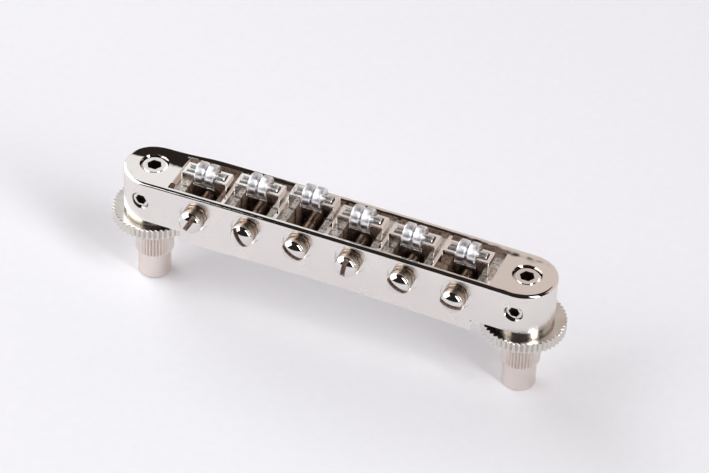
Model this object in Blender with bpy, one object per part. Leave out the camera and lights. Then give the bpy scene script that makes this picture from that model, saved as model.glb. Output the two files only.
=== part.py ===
"""Electric guitar bridge with six roller saddles, carried on two thumbwheel posts.

X runs along the bridge, the screw heads face -Y and +Z is up.
The origin lies midway between the two bushings, level with their feet.
"""

import math

import bmesh
import bpy
from mathutils import Matrix, Vector

MM = 0.001

# Overall layout
POST_SPACING = 74.0 * MM
STRING_COUNT = 6
STRING_SPACING = 10.34 * MM
ARCH_RADIUS = 448.0 * MM

# Bushing: a smooth pilot, a splined barrel and a blind threaded bore
BUSHING_LENGTH = 13.25 * MM
PILOT_RADIUS = 3.14 * MM
PILOT_LENGTH = 5.5 * MM
SPLINE_RADIUS = 3.63 * MM
SPLINE_DEPTH = 0.3 * MM
SPLINE_COUNT = 36
BUSHING_CHAMFER = 0.2 * MM
BUSHING_FLOOR = 1.2 * MM

# Thumbwheel: a knurled disc with a raised hub
WHEEL_RADIUS = 7.95 * MM
WHEEL_THICKNESS = 2.2 * MM
KNURL_COUNT = 48
KNURL_DEPTH = 0.45 * MM
HUB_RADIUS = 5.3 * MM
HUB_HEIGHT = 1.05 * MM
HUB_CHAMFER = 0.12 * MM

# Post: a plain head that turns in the body and a threaded shank below it
POST_RADIUS = 2.62 * MM
POST_CHAMFER = 0.46 * MM
SHANK_RADIUS = 2.0 * MM
SHANK_TIP_GAP = 0.8 * MM
POST_RECESS = 0.3 * MM
SOCKET_ACROSS_FLATS = 2.5 * MM
SOCKET_DEPTH = 2.4 * MM

# Body
BODY_HALF_WIDTH = 6.4 * MM
BODY_END_MARGIN = 5.7 * MM
BODY_END_DEPTH = 8.75 * MM
BODY_BELLY_DROP = 1.73 * MM
BELLY_RADIUS = 520.0 * MM
TOP_CROWN = 0.35 * MM
TOP_FILLET = 0.55 * MM
WALL_DRAFT = 0.1 * MM

# Recess that holds the saddles
FRONT_WALL = 1.0 * MM
REAR_WALL = 1.8 * MM
LEDGE_DEPTH = 0.7 * MM
CHANNEL_HALF_WIDTH = 3.15 * MM
CHANNEL_BELOW_SCREW = 2.9 * MM
FIN_THICKNESS = 0.7 * MM
RECESS_END_MARGIN = 5.6 * MM
RECESS_END_SLOPE = 0.45 * MM
RECESS_CORNER = 0.9 * MM

# Saddle
SADDLE_DEPTH = 3.5 * MM
ARM_HALF_SPAN = 4.5 * MM
ARM_HEIGHT = 3.1 * MM
BLOCK_HALF_WIDTH = 2.9 * MM
BLOCK_BELOW_SCREW = 2.3 * MM
SADDLE_CHAMFER = 0.15 * MM
SLOT_HALF_WIDTH = 2.0 * MM
SLOT_LIP_HEIGHT = 1.05 * MM
TROUGH_HALF_LENGTH = 3.8 * MM

# Roller and its axle
ROLLER_RADIUS = 2.1 * MM
ROLLER_HALF_WIDTH = 1.85 * MM
ROLLER_CHAMFER = 0.15 * MM
GROOVE_HALF_WIDTH = 0.35 * MM
GROOVE_DEPTH = 0.6 * MM
AXLE_RADIUS = 0.8 * MM
AXLE_HALF_LENGTH = 3.6 * MM
AXLE_CHAMFER = 0.15 * MM
AXLE_ABOVE_LEDGE = 2.9 * MM

# Intonation screw and its clip
SCREW_BELOW_LEDGE = 3.0 * MM
SCREW_RADIUS = 1.25 * MM
SCREW_END_GAP = 0.6 * MM
HEAD_RADIUS = 2.25 * MM
HEAD_RIM = 2.15 * MM
HEAD_DOME = 1.4 * MM
COUNTERBORE_RADIUS = 3.0 * MM
COUNTERBORE_DEPTH = 0.45 * MM
DRIVER_SLOT_WIDTH = 0.9 * MM
DRIVER_SLOT_DEPTH = 1.0 * MM
DRIVER_SLOT_ANGLES = (62, -56, -30, 82, -28, -11)
CLIP_RADIUS = 2.1 * MM
CLIP_THICKNESS = 0.45 * MM
CLIP_GROOVE_RADIUS = 0.9 * MM
CLIP_MOUTH_ANGLE = 50

# Where each saddle's front face rests, behind the recess's front wall
SADDLE_SETBACKS = (3.01 * MM, 3.65 * MM, 4.69 * MM, 3.05 * MM, 2.62 * MM, 3.01 * MM)

# Lock screw that clamps each post
LOCK_RADIUS = 1.72 * MM
LOCK_LENGTH = 3.1 * MM
LOCK_CHAMFER = 0.3 * MM
LOCK_BELOW_TOP = 4.3 * MM
LOCK_SOCKET_ACROSS_FLATS = 1.9 * MM
LOCK_SOCKET_DEPTH = 1.2 * MM

# Clearances
RUNNING_GAP = 0.06 * MM
SEAT_GAP = 0.1 * MM
SIDE_GAP = 0.15 * MM
HOLE_GAP = 0.15 * MM

# Facets round a full turn
FINE_SEGMENTS = 32
SMALL_SEGMENTS = 20
PIN_SEGMENTS = 14
END_ARC_STEPS = 10
ARCH_STEPS = 12
FILLET_STEPS = 3
DOME_STEPS = 4
DOME_START = 12
ROUND_BEVEL = 0.5
CONVEX_ANGLE = 0.1
OVERSHOOT = 2.0 * MM

# Heights and faces that follow from the sizes above
WHEEL_BOTTOM = BUSHING_LENGTH + SEAT_GAP
WHEEL_TOP = WHEEL_BOTTOM + WHEEL_THICKNESS
HUB_TOP = WHEEL_TOP + HUB_HEIGHT
BODY_END_BOTTOM = HUB_TOP + SEAT_GAP
BODY_END_TOP = BODY_END_BOTTOM + BODY_END_DEPTH
BODY_MIDDLE_BOTTOM = BODY_END_BOTTOM - BODY_BELLY_DROP
BODY_MIDDLE_TOP = BODY_END_TOP + TOP_CROWN
LEDGE_HEIGHT = BODY_MIDDLE_TOP - LEDGE_DEPTH
SCREW_HEIGHT = LEDGE_HEIGHT - SCREW_BELOW_LEDGE
POST_X = POST_SPACING / 2
BODY_HALF_LENGTH = POST_X + BODY_END_MARGIN
FRONT_FACE = -BODY_HALF_WIDTH
RECESS_FRONT = FRONT_FACE + FRONT_WALL
RECESS_REAR = BODY_HALF_WIDTH - REAR_WALL
OUTER_STRING_X = STRING_SPACING * (STRING_COUNT - 1) / 2
RECESS_HALF_LENGTH = OUTER_STRING_X + RECESS_END_MARGIN
RELIEF_START = POST_X - WHEEL_RADIUS - SIDE_GAP
POST_HOLE_RADIUS = POST_RADIUS + HOLE_GAP
CLIP_FRONT = RECESS_FRONT + SEAT_GAP
HEAD_SEAT = FRONT_FACE + COUNTERBORE_DEPTH - RUNNING_GAP
HEAD_REACH = HEAD_SEAT - HEAD_RIM - HEAD_DOME * math.cos(math.radians(DOME_START))
# The screw heads reach further forward than the wheels do, so the posts stand behind the box's middle.
POST_LINE = -(HEAD_REACH + WHEEL_RADIUS) / 2
LOCK_HEIGHT = BODY_END_TOP - LOCK_BELOW_TOP


def arch_drop(x, radius=ARCH_RADIUS):
    """How far the string arch lies below its middle at x."""
    return radius - math.sqrt(radius * radius - x * x)


def body_top(x):
    """Height of the body's crowned top."""
    return BODY_MIDDLE_TOP - TOP_CROWN * (x / POST_X) ** 2


def string_x(index):
    return STRING_SPACING * (index - (STRING_COUNT - 1) / 2)


def clear_scene():
    for item in list(bpy.data.objects):
        bpy.data.objects.remove(item, do_unlink=True)


def make_material(name, colour, roughness, metallic=1.0):
    material = bpy.data.materials.new(name)
    material.use_nodes = True
    shader = material.node_tree.nodes["Principled BSDF"]
    shader.inputs["Base Color"].default_value = (*colour, 1.0)
    shader.inputs["Roughness"].default_value = roughness
    shader.inputs["Metallic"].default_value = metallic
    return material


def mesh_from(bm, name):
    """Close a bmesh into a mesh with its faces pointing out."""
    bmesh.ops.recalc_face_normals(bm, faces=bm.faces)
    mesh = bpy.data.meshes.new(name)
    bm.to_mesh(mesh)
    bm.free()
    return mesh


def place(name, mesh, material, location=(0.0, 0.0, 0.0)):
    """Put a mesh in the scene as one named piece with its own material."""
    mesh = mesh.copy()
    mesh.name = name
    mesh.materials.clear()
    mesh.materials.append(material)
    mesh.shade_smooth()
    mesh.set_sharp_from_angle(angle=math.radians(35))
    piece = bpy.data.objects.new(name, mesh)
    piece.location = (location[0], location[1] + POST_LINE, location[2])
    bpy.context.collection.objects.link(piece)
    return piece


def carve(blank, cutters, name):
    """Cut each cutter out of the blank and return the finished mesh."""
    work = bpy.data.objects.new(name + "_blank", blank)
    bpy.context.collection.objects.link(work)
    tools = []
    for index, cutter in enumerate(cutters):
        tool = bpy.data.objects.new(f"{name}_cutter_{index}", cutter)
        tool.hide_render = True
        tool.display_type = "WIRE"
        bpy.context.collection.objects.link(tool)
        tools.append(tool)
        cut = work.modifiers.new(f"cut_{index}", "BOOLEAN")
        cut.operation = "DIFFERENCE"
        cut.solver = "EXACT"
        cut.object = tool
    bpy.context.view_layer.update()
    evaluated = work.evaluated_get(bpy.context.evaluated_depsgraph_get())
    finished = bpy.data.meshes.new_from_object(evaluated)
    finished.name = name
    for item in [work, *tools]:
        bpy.data.objects.remove(item, do_unlink=True)
    return finished


def add_loft(bm, rings, closed=False):
    """Join rings of equal point counts with faces, capped or closed on themselves."""
    rows = [[bm.verts.new(point) for point in ring] for ring in rings]
    pairs = list(zip(rows, rows[1:]))
    if closed:
        pairs.append((rows[-1], rows[0]))
    for low, high in pairs:
        for index in range(len(low)):
            after = (index + 1) % len(low)
            bm.faces.new((low[index], low[after], high[after], high[index]))
    if not closed:
        bm.faces.new(list(reversed(rows[0])))
        bm.faces.new(rows[-1])


def add_prism(bm, outline, low, high, to_point):
    """Extrude a flat outline between two depths; to_point maps (a, b, depth) to XYZ."""
    rings = [[to_point(a, b, depth) for a, b in outline] for depth in (low, high)]
    add_loft(bm, rings)


def along_x(a, b, depth):
    return Vector((depth, a, b))


def along_y(a, b, depth):
    return Vector((a, depth, b))


def along_z(a, b, depth):
    return Vector((a, b, depth))


def arc(radius, start, end, steps, centre=(0.0, 0.0)):
    """Points on an arc, both ends included, with angles in degrees."""
    points = []
    for step in range(steps + 1):
        angle = math.radians(start + (end - start) * step / steps)
        points.append((centre[0] + radius * math.cos(angle), centre[1] + radius * math.sin(angle)))
    return points


def circle(radius, segments, centre=(0.0, 0.0)):
    return arc(radius, 0, 360, segments, centre)[:-1]


def hexagon(across_flats):
    return circle(across_flats / math.sqrt(3), 6)


def box_outline(low_a, high_a, low_b, high_b):
    return [(low_a, low_b), (high_a, low_b), (high_a, high_b), (low_a, high_b)]


def turned(profile, segments, to_point, closed=False):
    """Turn a profile of (radius, depth) about an axis and return a bmesh."""
    bm = bmesh.new()
    rings = [[to_point(a, b, depth) for a, b in circle(radius, segments)] for radius, depth in profile]
    add_loft(bm, rings, closed)
    return bm


def toothed_ring(crest, root, count, height):
    """A ring whose radius goes from crest to root and back once for each tooth."""
    points = []
    for index in range(2 * count):
        radius = root if index % 2 else crest
        angle = math.pi * index / count
        points.append((radius * math.cos(angle), radius * math.sin(angle), height))
    return points


def body_outline(offset, height_at):
    """The front half of the body's outline from left tip to right tip, then the rear half back."""
    radius = BODY_HALF_WIDTH
    centre = BODY_HALF_LENGTH - radius
    left = arc(radius - offset, 180, 270, END_ARC_STEPS, (-centre, 0.0))
    right = arc(radius - offset, 270, 360, END_ARC_STEPS, (centre, 0.0))
    middle = []
    for step in range(1, ARCH_STEPS):
        middle.append((-centre + 2 * centre * step / ARCH_STEPS, offset - radius))
    front = left + middle + right
    rear = [(x, -y) for x, y in reversed(front[1:-1])]
    return [(x, y, height_at(x)) for x, y in front + rear]


def body_blank():
    """The body before its cuts: an obround with a crowned top, a rounded rim and an arched belly."""
    rings = [body_outline(WALL_DRAFT, lambda x: BODY_MIDDLE_BOTTOM - arch_drop(x, BELLY_RADIUS))]
    for step in range(FILLET_STEPS + 1):
        angle = math.pi / 2 * step / FILLET_STEPS
        inset = TOP_FILLET * (1 - math.cos(angle))
        lower = TOP_FILLET * (1 - math.sin(angle))
        rings.append(body_outline(inset, lambda x, lower=lower: body_top(x) - lower))
    bm = bmesh.new()
    rows = [[bm.verts.new(point) for point in ring] for ring in rings]
    count = len(rows[0])
    for low, high in zip(rows, rows[1:]):
        for index in range(count):
            after = (index + 1) % count
            bm.faces.new((low[index], low[after], high[after], high[index]))
    half = count // 2
    for row in (rows[0], rows[-1]):
        for index in range(half):
            corners = (row[index], row[index + 1], row[-index - 1], row[-index % count])
            bm.faces.new(list(dict.fromkeys(corners)))
    return mesh_from(bm, "body_blank")


def bay_cutter():
    """The recess: one ledged bay with a deep channel for each saddle, with a fin between bays."""
    bm = bmesh.new()
    half_bay = (STRING_SPACING - FIN_THICKNESS) / 2
    above = BODY_MIDDLE_TOP + OVERSHOOT
    for index in range(STRING_COUNT):
        x = string_x(index)
        ledge = LEDGE_HEIGHT - arch_drop(x)
        floor = SCREW_HEIGHT - arch_drop(x) - CHANNEL_BELOW_SCREW
        slope = RECESS_END_SLOPE * (above - ledge) / LEDGE_DEPTH
        left_low = x - half_bay
        left_high = left_low
        right_low = x + half_bay
        right_high = right_low
        if index == 0:
            left_low = -RECESS_HALF_LENGTH + RECESS_END_SLOPE
            left_high = left_low - slope
        if index == STRING_COUNT - 1:
            right_low = RECESS_HALF_LENGTH - RECESS_END_SLOPE
            right_high = right_low + slope
        outline = [
            (left_high, above), (left_low, ledge), (x - CHANNEL_HALF_WIDTH, ledge),
            (x - CHANNEL_HALF_WIDTH, floor), (x + CHANNEL_HALF_WIDTH, floor),
            (x + CHANNEL_HALF_WIDTH, ledge), (right_low, ledge), (right_high, above),
        ]
        add_prism(bm, outline, RECESS_FRONT, RECESS_REAR, along_y)
    bm.normal_update()
    corners = []
    for edge in bm.edges:
        ends = [vert.co for vert in edge.verts]
        outer = all(abs(end.x) > OUTER_STRING_X + STRING_SPACING / 2 for end in ends)
        upright = abs(ends[0].z - ends[1].z) > LEDGE_DEPTH
        if outer and upright:
            corners.append(edge)
    bmesh.ops.bevel(bm, geom=corners, offset=RECESS_CORNER, segments=3, profile=ROUND_BEVEL,
                     affect="EDGES")
    return mesh_from(bm, "bay_cutter")


def body_cutters():
    """Everything cut from the body, in sets whose solids don't touch each other."""
    through = bmesh.new()
    shallow = bmesh.new()
    relief = bmesh.new()
    low = BODY_MIDDLE_BOTTOM - OVERSHOOT
    high = BODY_MIDDLE_TOP + OVERSHOOT
    for side in (-1, 1):
        x = side * POST_X
        hole = circle(POST_HOLE_RADIUS, FINE_SEGMENTS, (x, 0.0))
        add_prism(through, hole, low, high, along_z)
        lock = circle(LOCK_RADIUS + RUNNING_GAP, SMALL_SEGMENTS, (x, LOCK_HEIGHT))
        add_prism(shallow, lock, FRONT_FACE - OVERSHOOT, 0.0, along_y)
        outer = side * (BODY_HALF_LENGTH + OVERSHOOT)
        inner = side * RELIEF_START
        step = box_outline(min(inner, outer), max(inner, outer), low - OVERSHOOT, BODY_END_BOTTOM)
        add_prism(relief, step, -BODY_HALF_WIDTH - OVERSHOOT, BODY_HALF_WIDTH + OVERSHOOT, along_y)
    for index in range(STRING_COUNT):
        x = string_x(index)
        z = SCREW_HEIGHT - arch_drop(x)
        hole = circle(SCREW_RADIUS + HOLE_GAP, SMALL_SEGMENTS, (x, z))
        add_prism(through, hole, FRONT_FACE - OVERSHOOT, (RECESS_FRONT + RECESS_REAR) / 2, along_y)
        sink = circle(COUNTERBORE_RADIUS, SMALL_SEGMENTS, (x, z))
        add_prism(shallow, sink, FRONT_FACE - OVERSHOOT, FRONT_FACE + COUNTERBORE_DEPTH, along_y)
    return [
        bay_cutter(),
        mesh_from(relief, "relief_cutter"),
        mesh_from(through, "hole_cutter"),
        mesh_from(shallow, "sink_cutter"),
    ]


def build_body():
    mesh = carve(body_blank(), body_cutters(), "bridge_body")
    place("bridge_body", mesh, make_material("nickel_body", (0.80, 0.78, 0.75), 0.12))


def saddle_mesh():
    """One saddle, with its origin on the screw's axis at the front face."""
    under = SCREW_BELOW_LEDGE + SEAT_GAP
    top = SCREW_BELOW_LEDGE + ARM_HEIGHT
    outline = [
        (-BLOCK_HALF_WIDTH, -BLOCK_BELOW_SCREW), (BLOCK_HALF_WIDTH, -BLOCK_BELOW_SCREW),
        (BLOCK_HALF_WIDTH, under), (ARM_HALF_SPAN, under), (ARM_HALF_SPAN, top),
        (-ARM_HALF_SPAN, top), (-ARM_HALF_SPAN, under), (-BLOCK_HALF_WIDTH, under),
    ]
    bm = bmesh.new()
    add_prism(bm, outline, 0.0, SADDLE_DEPTH, along_y)
    bm.normal_update()
    outer = [edge for edge in bm.edges if edge.calc_face_angle_signed() > CONVEX_ANGLE]
    bmesh.ops.bevel(bm, geom=outer, offset=SADDLE_CHAMFER, segments=1, affect="EDGES")
    blank = mesh_from(bm, "saddle_blank")

    middle = SADDLE_DEPTH / 2
    axle = SCREW_BELOW_LEDGE + AXLE_ABOVE_LEDGE
    lip = SCREW_BELOW_LEDGE + SLOT_LIP_HEIGHT
    above = top + OVERSHOOT
    relief_radius = ROLLER_RADIUS + SIDE_GAP
    lip_angle = math.degrees(math.asin((axle - lip) / relief_radius))
    below = arc(relief_radius, 180 + lip_angle, 360 - lip_angle, PIN_SEGMENTS // 2, (middle, axle))
    slot = [(-OVERSHOOT, above), (-OVERSHOOT, lip), *below]
    slot += [(SADDLE_DEPTH + OVERSHOOT, lip), (SADDLE_DEPTH + OVERSHOOT, above)]
    roller_slot = bmesh.new()
    add_prism(roller_slot, slot, -SLOT_HALF_WIDTH, SLOT_HALF_WIDTH, along_x)

    trough_radius = AXLE_RADIUS + SIDE_GAP
    seat = arc(trough_radius, 180, 360, PIN_SEGMENTS // 2, (middle, axle))
    trough_outline = [(middle - trough_radius, above), *seat, (middle + trough_radius, above)]
    trough = bmesh.new()
    add_prism(trough, trough_outline, -TROUGH_HALF_LENGTH, TROUGH_HALF_LENGTH, along_x)

    bore = bmesh.new()
    threaded = circle(SCREW_RADIUS + RUNNING_GAP, SMALL_SEGMENTS)
    add_prism(bore, threaded, -OVERSHOOT, SADDLE_DEPTH + OVERSHOOT, along_y)
    cutters = [
        mesh_from(roller_slot, "slot_cutter"), mesh_from(trough, "trough_cutter"),
        mesh_from(bore, "bore_cutter"),
    ]
    return carve(blank, cutters, "saddle")


def roller_mesh():
    """A hard roller turned with a V groove between two rims."""
    bore = AXLE_RADIUS + RUNNING_GAP
    rim = ROLLER_RADIUS - ROLLER_CHAMFER
    half = ROLLER_HALF_WIDTH
    land = half - ROLLER_CHAMFER
    profile = [
        (bore, -half), (rim, -half), (ROLLER_RADIUS, -land), (ROLLER_RADIUS, -GROOVE_HALF_WIDTH),
        (ROLLER_RADIUS - GROOVE_DEPTH, 0.0),
        (ROLLER_RADIUS, GROOVE_HALF_WIDTH), (ROLLER_RADIUS, land), (rim, half), (bore, half),
    ]
    return mesh_from(turned(profile, SMALL_SEGMENTS, along_x, closed=True), "roller")


def axle_mesh():
    tip = AXLE_RADIUS - AXLE_CHAMFER
    land = AXLE_HALF_LENGTH - AXLE_CHAMFER
    profile = [(tip, -AXLE_HALF_LENGTH), (AXLE_RADIUS, -land), (AXLE_RADIUS, land), (tip, AXLE_HALF_LENGTH)]
    return mesh_from(turned(profile, PIN_SEGMENTS, along_x), "axle")


def screw_mesh(slot_angle):
    """A domed slotted screw, with its origin on its axis at the underside of the head."""
    end = RECESS_REAR - SCREW_END_GAP - HEAD_SEAT
    groove_front = CLIP_FRONT - HEAD_SEAT - RUNNING_GAP
    groove_rear = groove_front + CLIP_THICKNESS + 2 * RUNNING_GAP
    profile = []
    for step in range(DOME_STEPS):
        angle = math.radians(DOME_START + (90 - DOME_START) * step / DOME_STEPS)
        profile.append((HEAD_RADIUS * math.sin(angle), -HEAD_RIM - HEAD_DOME * math.cos(angle)))
    profile += [
        (HEAD_RADIUS, -HEAD_RIM), (HEAD_RADIUS, 0.0), (SCREW_RADIUS, 0.0), (SCREW_RADIUS, groove_front),
        (CLIP_GROOVE_RADIUS, groove_front), (CLIP_GROOVE_RADIUS, groove_rear), (SCREW_RADIUS, groove_rear),
        (SCREW_RADIUS, end - AXLE_CHAMFER * 2), (SCREW_RADIUS - AXLE_CHAMFER * 2, end),
    ]
    blank = mesh_from(turned(profile, SMALL_SEGMENTS, along_y), "screw_blank")
    slot = bmesh.new()
    half = DRIVER_SLOT_WIDTH / 2
    reach = HEAD_RADIUS + OVERSHOOT
    front = -HEAD_RIM - HEAD_DOME
    outline = box_outline(-reach, reach, -half, half)
    add_prism(slot, outline, front - OVERSHOOT, front + DRIVER_SLOT_DEPTH, along_y)
    turn = Matrix.Rotation(math.radians(-slot_angle), 4, "Y")
    bmesh.ops.transform(slot, matrix=turn, verts=slot.verts)
    return carve(blank, [mesh_from(slot, "driver_slot")], "screw")


def clip_mesh():
    """A flat open ring that sits in the screw's groove behind the front wall."""
    start = -90 + CLIP_MOUTH_ANGLE / 2
    end = 270 - CLIP_MOUTH_ANGLE / 2
    outer = arc(CLIP_RADIUS, start, end, PIN_SEGMENTS)
    inner = arc(CLIP_GROOVE_RADIUS + RUNNING_GAP, end, start, PIN_SEGMENTS)
    bm = bmesh.new()
    add_prism(bm, outer + inner, 0.0, CLIP_THICKNESS, along_y)
    return mesh_from(bm, "clip")


def build_strings():
    """The six sets of screw, clip, saddle, axle and roller."""
    saddle = saddle_mesh()
    roller = roller_mesh()
    axle = axle_mesh()
    clip = clip_mesh()
    for index in range(STRING_COUNT):
        number = index + 1
        x = string_x(index)
        screw_z = SCREW_HEIGHT - arch_drop(x)
        axle_z = LEDGE_HEIGHT - arch_drop(x) + AXLE_ABOVE_LEDGE
        front = RECESS_FRONT + SADDLE_SETBACKS[index]
        axle_y = front + SADDLE_DEPTH / 2
        screw = screw_mesh(DRIVER_SLOT_ANGLES[index])
        place(f"saddle_{number}", saddle, make_material(f"nickel_saddle_{number}", (0.78, 0.76, 0.73), 0.15),
              (x, front, screw_z))
        place(f"axle_{number}", axle, make_material(f"steel_axle_{number}", (0.80, 0.80, 0.80), 0.15),
              (x, axle_y, axle_z))
        place(f"roller_{number}", roller, make_material(f"steel_roller_{number}", (0.62, 0.64, 0.67), 0.32),
              (x, axle_y, axle_z))
        place(f"intonation_screw_{number}", screw, make_material(f"nickel_screw_{number}", (0.80, 0.78, 0.75), 0.1),
              (x, HEAD_SEAT, screw_z))
        place(f"screw_clip_{number}", clip, make_material(f"steel_clip_{number}", (0.55, 0.54, 0.52), 0.3),
              (x, CLIP_FRONT, screw_z))


def bushing_mesh():
    """A splined bushing with its foot at z = 0."""
    shoulder = PILOT_LENGTH + BUSHING_CHAMFER
    rings = []
    root = SPLINE_RADIUS - SPLINE_DEPTH
    for crest, valley, height in (
        (PILOT_RADIUS - BUSHING_CHAMFER, PILOT_RADIUS - BUSHING_CHAMFER, 0.0),
        (PILOT_RADIUS, PILOT_RADIUS, BUSHING_CHAMFER),
        (PILOT_RADIUS, PILOT_RADIUS, PILOT_LENGTH),
        (SPLINE_RADIUS, root, shoulder),
        (SPLINE_RADIUS, root, BUSHING_LENGTH - BUSHING_CHAMFER),
        (root, root, BUSHING_LENGTH),
    ):
        rings.append(toothed_ring(crest, valley, SPLINE_COUNT, height))
    bm = bmesh.new()
    add_loft(bm, rings)
    bore = bmesh.new()
    add_prism(bore, circle(SHANK_RADIUS + RUNNING_GAP, SMALL_SEGMENTS), BUSHING_FLOOR,
              BUSHING_LENGTH + OVERSHOOT, along_z)
    return carve(mesh_from(bm, "bushing_blank"), [mesh_from(bore, "bushing_bore")], "bushing")


def wheel_mesh():
    """A knurled thumbwheel with its hub, its underside at z = 0."""
    valley = WHEEL_RADIUS - KNURL_DEPTH
    rings = [toothed_ring(WHEEL_RADIUS, valley, KNURL_COUNT, height) for height in (0.0, WHEEL_THICKNESS)]
    bm = bmesh.new()
    add_loft(bm, rings)
    disc = mesh_from(bm, "wheel_disc")
    hub_end = WHEEL_THICKNESS + HUB_HEIGHT
    profile = [
        (HUB_RADIUS, WHEEL_THICKNESS / 2), (HUB_RADIUS, hub_end - HUB_CHAMFER),
        (HUB_RADIUS - HUB_CHAMFER, hub_end),
    ]
    hub = mesh_from(turned(profile, FINE_SEGMENTS, along_z), "wheel_hub")
    disc = join(disc, hub, "thumbwheel")
    bore = bmesh.new()
    add_prism(bore, circle(POST_RADIUS + RUNNING_GAP, FINE_SEGMENTS), -OVERSHOOT, hub_end + OVERSHOOT, along_z)
    return carve(disc, [mesh_from(bore, "wheel_bore")], "thumbwheel")


def join(first, second, name):
    """Fuse two overlapping solids into one."""
    base = bpy.data.objects.new(name + "_base", first)
    other = bpy.data.objects.new(name + "_other", second)
    for item in (base, other):
        bpy.context.collection.objects.link(item)
    fuse = base.modifiers.new("fuse", "BOOLEAN")
    fuse.operation = "UNION"
    fuse.solver = "EXACT"
    fuse.object = other
    bpy.context.view_layer.update()
    evaluated = base.evaluated_get(bpy.context.evaluated_depsgraph_get())
    fused = bpy.data.meshes.new_from_object(evaluated)
    for item in (base, other):
        bpy.data.objects.remove(item, do_unlink=True)
    return fused


def post_mesh():
    """A post with its origin at the wheel's underside and a hexagon socket in its top."""
    top = BODY_END_TOP - POST_RECESS - WHEEL_BOTTOM
    tip = BUSHING_FLOOR + SHANK_TIP_GAP - WHEEL_BOTTOM
    profile = [
        (SHANK_RADIUS - LOCK_CHAMFER, tip), (SHANK_RADIUS, tip + LOCK_CHAMFER), (SHANK_RADIUS, 0.0),
        (POST_RADIUS, 0.0), (POST_RADIUS, top - POST_CHAMFER), (POST_RADIUS - POST_CHAMFER, top),
    ]
    blank = mesh_from(turned(profile, SMALL_SEGMENTS, along_z), "post_blank")
    socket = bmesh.new()
    add_prism(socket, hexagon(SOCKET_ACROSS_FLATS), top - SOCKET_DEPTH, top + OVERSHOOT, along_z)
    return carve(blank, [mesh_from(socket, "post_socket")], "post")


def lock_mesh():
    """A socket grub screw with its origin on its axis at the inner tip, pointing to -Y."""
    outer = -LOCK_LENGTH
    profile = [
        (LOCK_RADIUS - LOCK_CHAMFER, outer), (LOCK_RADIUS, outer + LOCK_CHAMFER),
        (LOCK_RADIUS, -LOCK_CHAMFER), (LOCK_RADIUS - LOCK_CHAMFER, 0.0),
    ]
    blank = mesh_from(turned(profile, SMALL_SEGMENTS, along_y), "lock_blank")
    socket = bmesh.new()
    add_prism(socket, hexagon(LOCK_SOCKET_ACROSS_FLATS), outer - OVERSHOOT, outer + LOCK_SOCKET_DEPTH, along_y)
    return carve(blank, [mesh_from(socket, "lock_socket")], "lock_screw")


def build_supports():
    """The bushing, thumbwheel, post and lock screw at each end."""
    bushing = bushing_mesh()
    wheel = wheel_mesh()
    post = post_mesh()
    lock = lock_mesh()
    for side, x in (("left", -POST_X), ("right", POST_X)):
        place(f"bushing_{side}", bushing, make_material(f"nickel_bushing_{side}", (0.66, 0.64, 0.60), 0.35),
              (x, 0.0, 0.0))
        place(f"thumbwheel_{side}", wheel, make_material(f"nickel_wheel_{side}", (0.78, 0.76, 0.73), 0.18),
              (x, 0.0, WHEEL_BOTTOM))
        place(f"post_{side}", post, make_material(f"nickel_post_{side}", (0.80, 0.79, 0.77), 0.15),
              (x, 0.0, WHEEL_BOTTOM))
        place(f"lock_screw_{side}", lock, make_material(f"nickel_lock_{side}", (0.70, 0.69, 0.67), 0.2),
              (x, -POST_RADIUS - SEAT_GAP, LOCK_HEIGHT))


def main():
    clear_scene()
    build_body()
    build_strings()
    build_supports()


main()
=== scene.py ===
# %% [markdown]
# An electric guitar bridge, dressed for a studio picture.
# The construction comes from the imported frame, which gives every piece its place and joint.
# Here each piece gets the finer surface that a plated and machined part has: rounded edges,
# threads, knurling and a metal finish that shows how it was made.

# %% Load the frame
import math

import bmesh
import bpy
from mathutils import Matrix, Vector


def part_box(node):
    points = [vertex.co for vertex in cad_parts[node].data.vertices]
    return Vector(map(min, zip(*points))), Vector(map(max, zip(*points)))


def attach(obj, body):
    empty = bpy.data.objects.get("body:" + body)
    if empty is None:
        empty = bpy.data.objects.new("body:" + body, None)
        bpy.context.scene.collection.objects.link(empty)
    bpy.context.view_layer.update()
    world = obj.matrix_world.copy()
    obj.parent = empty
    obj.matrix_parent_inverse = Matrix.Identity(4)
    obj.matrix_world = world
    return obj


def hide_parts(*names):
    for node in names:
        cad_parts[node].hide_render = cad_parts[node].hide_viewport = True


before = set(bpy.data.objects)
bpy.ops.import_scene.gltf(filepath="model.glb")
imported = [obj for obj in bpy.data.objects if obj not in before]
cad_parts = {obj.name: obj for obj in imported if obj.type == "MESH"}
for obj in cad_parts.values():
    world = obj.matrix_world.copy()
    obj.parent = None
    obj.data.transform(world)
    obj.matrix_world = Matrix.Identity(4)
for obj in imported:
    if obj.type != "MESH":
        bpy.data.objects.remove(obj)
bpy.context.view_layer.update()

# %% [markdown]
# Every place is read from the frame, so a piece can't drift from the solid it stands for.
# A node's box gives its lowest and highest corner; its middle gives the axis of a round piece.
# The frame counts depth from the middle of the whole bridge, but a bridge is drawn from the
# line through its two posts, so depths are turned to that line here and back in piece().

# %% Places from the frame
MM = 0.001
STRINGS = 6
SIDES = ("left", "right")
TO_POSTS = Vector((0.0, sum(corner[1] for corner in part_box("post_left")) / 2, 0.0))


def low(node):
    """The lowest corner of a node's box, with depth counted from the posts."""
    return Vector(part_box(node)[0]) - TO_POSTS


def high(node):
    """The highest corner of a node's box, with depth counted from the posts."""
    return Vector(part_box(node)[1]) - TO_POSTS


def middle(node):
    return (low(node) + high(node)) / 2


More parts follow.
